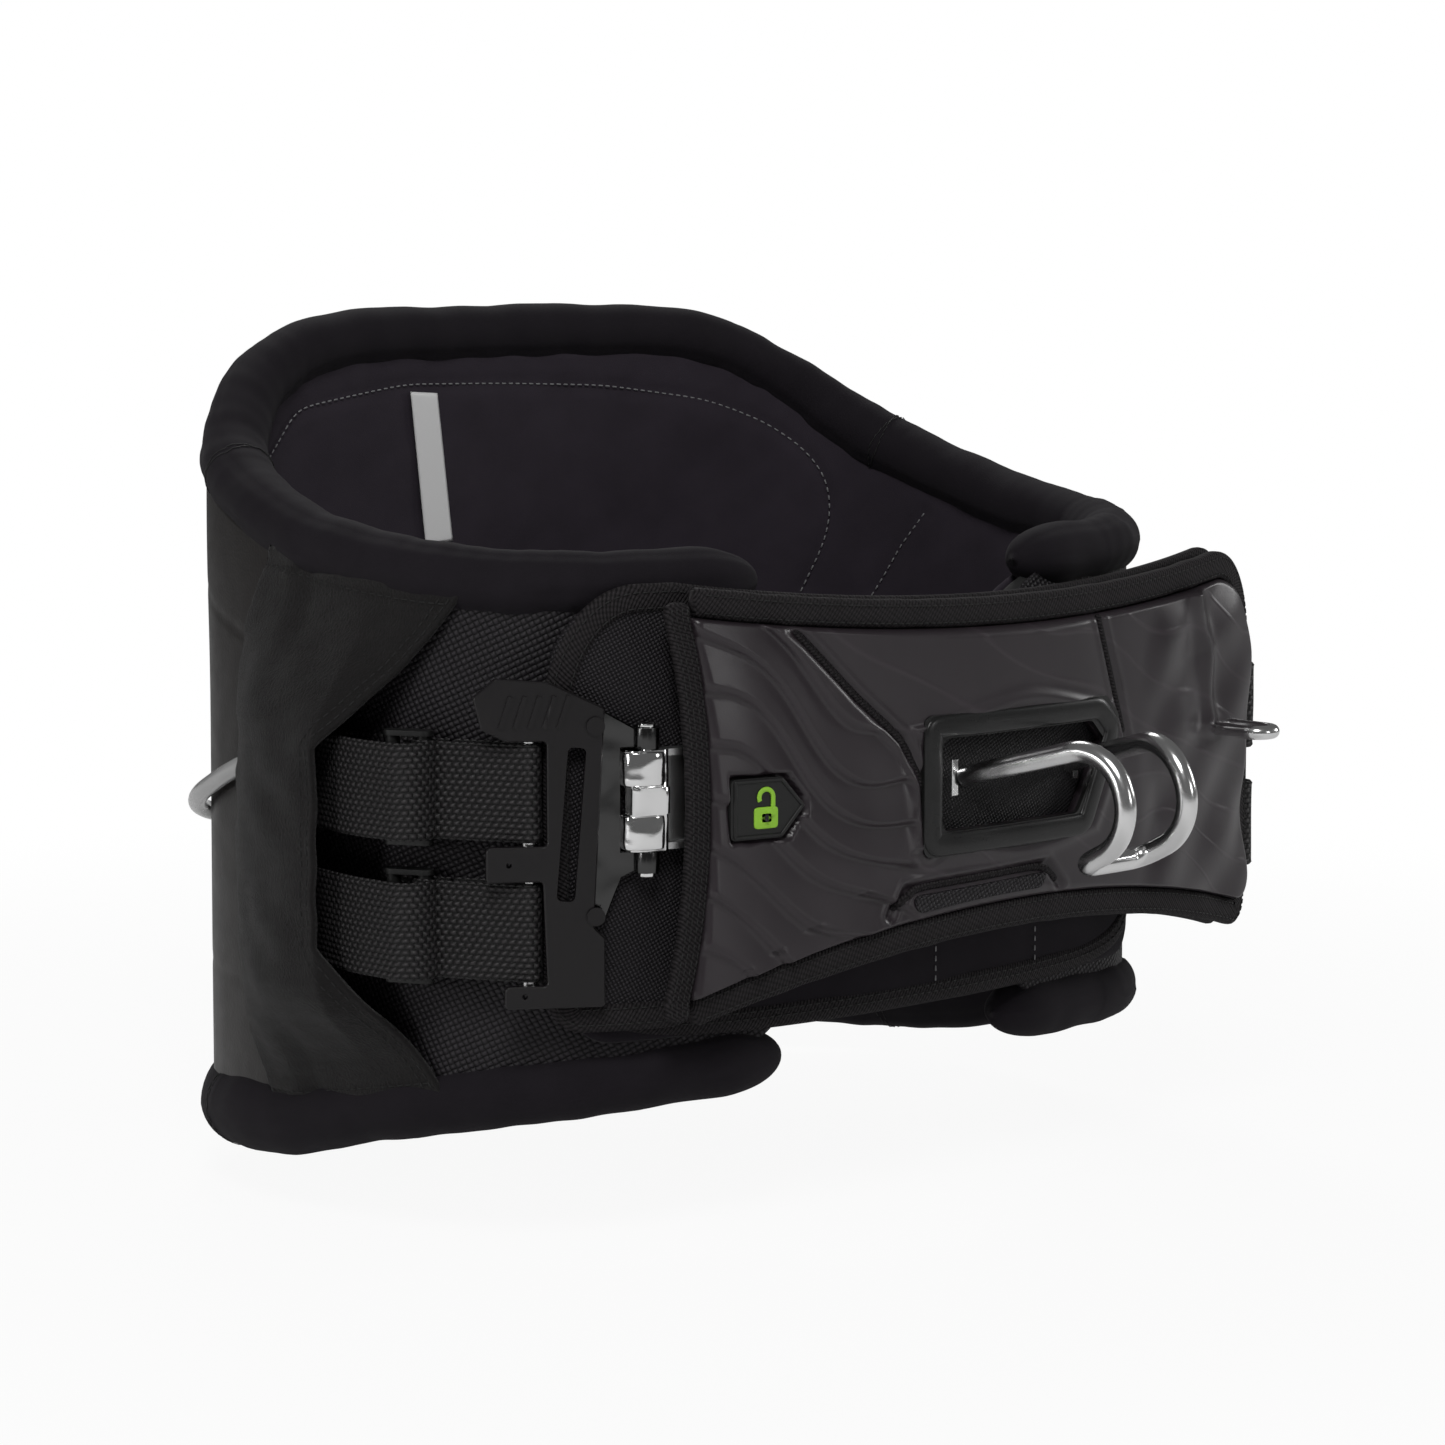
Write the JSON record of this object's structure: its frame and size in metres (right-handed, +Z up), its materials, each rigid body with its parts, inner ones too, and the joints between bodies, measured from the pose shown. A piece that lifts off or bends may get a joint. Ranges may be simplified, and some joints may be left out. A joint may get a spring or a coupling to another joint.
{
  "type": "waist harness with spreader bar and hook",
  "caption": "Padded waist harness with rolled rims and a quick-release spreader bar: a buckle swings open, and the hook takes a rope loop",
  "frame": {"origin": "centre of the wearer's waist ring, level with the middle of the belt's side", "axes": "+Z up, -Y forward (the hook), +X to the wearer's left"},
  "size_m": [0.4266, 0.3683, 0.3356],
  "materials": {
    "back_shell": "semi-gloss leatherette",
    "bottom_rim_roll": "matt",
    "bracket_rivets": "satin",
    "buckle_bracket": "satin",
    "buckle_plate": "satin black coating",
    "clasp": "polished",
    "closure_belt": "matt",
    "end_frame_rivets": "satin",
    "foam_core": "matt",
    "handle_pass_rod": "gloss",
    "hinge_pin": "satin",
    "hook": "polished",
    "inner_liner": "matt",
    "leash_ring": "polished",
    "left_end_frame": "satin black coating",
    "left_lower_adjuster": "matt",
    "left_lower_anchor_strap": "matt",
    "left_lower_webbing": "matt",
    "left_pocket_binding": "matt",
    "left_rod_pivot": "satin",
    "left_side_flap": "matt",
    "left_upper_adjuster": "matt",
    "left_upper_anchor_strap": "matt",
    "left_upper_webbing": "matt",
    "left_wing": "matt",
    "lower_cross_pin": "satin",
    "lower_edge_binding": "matt",
    "lumbar_plate": "gloss",
    "pad_back_panel": "matt",
    "pad_face": "satin, embossed",
    "pad_lower_foam": "matt",
    "pad_upper_foam": "matt",
    "right_lower_adjuster": "matt",
    "right_lower_anchor_strap": "matt",
    "right_lower_webbing": "matt",
    "right_pocket_binding": "matt",
    "right_rod_pivot": "satin",
    "right_side_flap": "matt",
    "right_upper_adjuster": "matt",
    "right_upper_anchor_strap": "matt",
    "right_upper_webbing": "matt",
    "right_wing": "matt",
    "spreader_bar": "satin",
    "top_rim_roll": "matt",
    "unlock_button": "satin, embossed",
    "upper_cross_pin": "satin",
    "upper_edge_binding": "matt",
    "window_bezel": "matt"
  },
  "bodies": {
    "harness": {"back_shell": "back_shell", "bottom_rim_roll": "bottom_rim_roll", "clasp": "clasp", "closure_belt": "closure_belt", "end_frame_rivets": "end_frame_rivets", "foam_core": "foam_core", "hinge_pin": "hinge_pin", "hook": "hook", "inner_liner": "inner_liner", "leash_ring": "leash_ring", "left_end_frame": "left_end_frame", "left_lower_adjuster": "left_lower_adjuster", "left_lower_anchor_strap": "left_lower_anchor_strap", "left_lower_webbing": "left_lower_webbing", "left_pocket_binding": "left_pocket_binding", "left_rod_pivot": "left_rod_pivot", "left_side_flap": "left_side_flap", "left_upper_adjuster": "left_upper_adjuster", "left_upper_anchor_strap": "left_upper_anchor_strap", "left_upper_webbing": "left_upper_webbing", "left_wing": "left_wing", "lower_cross_pin": "lower_cross_pin", "lower_edge_binding": "lower_edge_binding", "lumbar_plate": "lumbar_plate", "pad_back_panel": "pad_back_panel", "pad_face": "pad_face", "pad_lower_foam": "pad_lower_foam", "pad_upper_foam": "pad_upper_foam", "right_lower_adjuster": "right_lower_adjuster", "right_lower_anchor_strap": "right_lower_anchor_strap", "right_lower_webbing": "right_lower_webbing", "right_pocket_binding": "right_pocket_binding", "right_rod_pivot": "right_rod_pivot", "right_side_flap": "right_side_flap", "right_upper_adjuster": "right_upper_adjuster", "right_upper_anchor_strap": "right_upper_anchor_strap", "right_upper_webbing": "right_upper_webbing", "right_wing": "right_wing", "spreader_bar": "spreader_bar", "top_rim_roll": "top_rim_roll", "upper_cross_pin": "upper_cross_pin", "upper_edge_binding": "upper_edge_binding", "window_bezel": "window_bezel"},
    "buckle": {"buckle_plate": "buckle_plate", "buckle_bracket": "buckle_bracket", "bracket_rivets": "bracket_rivets"},
    "handle_rod": {"handle_pass_rod": "handle_pass_rod"},
    "button": {"unlock_button": "unlock_button"}
  },
  "joints": [
    {"name": "buckle_swing", "type": "hinge", "parent": "harness", "child": "buckle", "pos_m": [-0.12628, -0.13006, -0.041], "axis": [0, 0, 1], "range_deg": [0, 80]},
    {"name": "handle_pass_swing", "type": "hinge", "parent": "harness", "child": "handle_rod", "pos_m": [0, 0.006, -0.032], "axis": [1, 0, 0], "range_deg": [0, 35]},
    {"name": "unlock_press", "type": "slide", "parent": "harness", "child": "button", "axis": [0.1693, 0.9856, 0], "range_m": [0, 0.0012], "stiffness_N_per_m": 900}
  ]
}
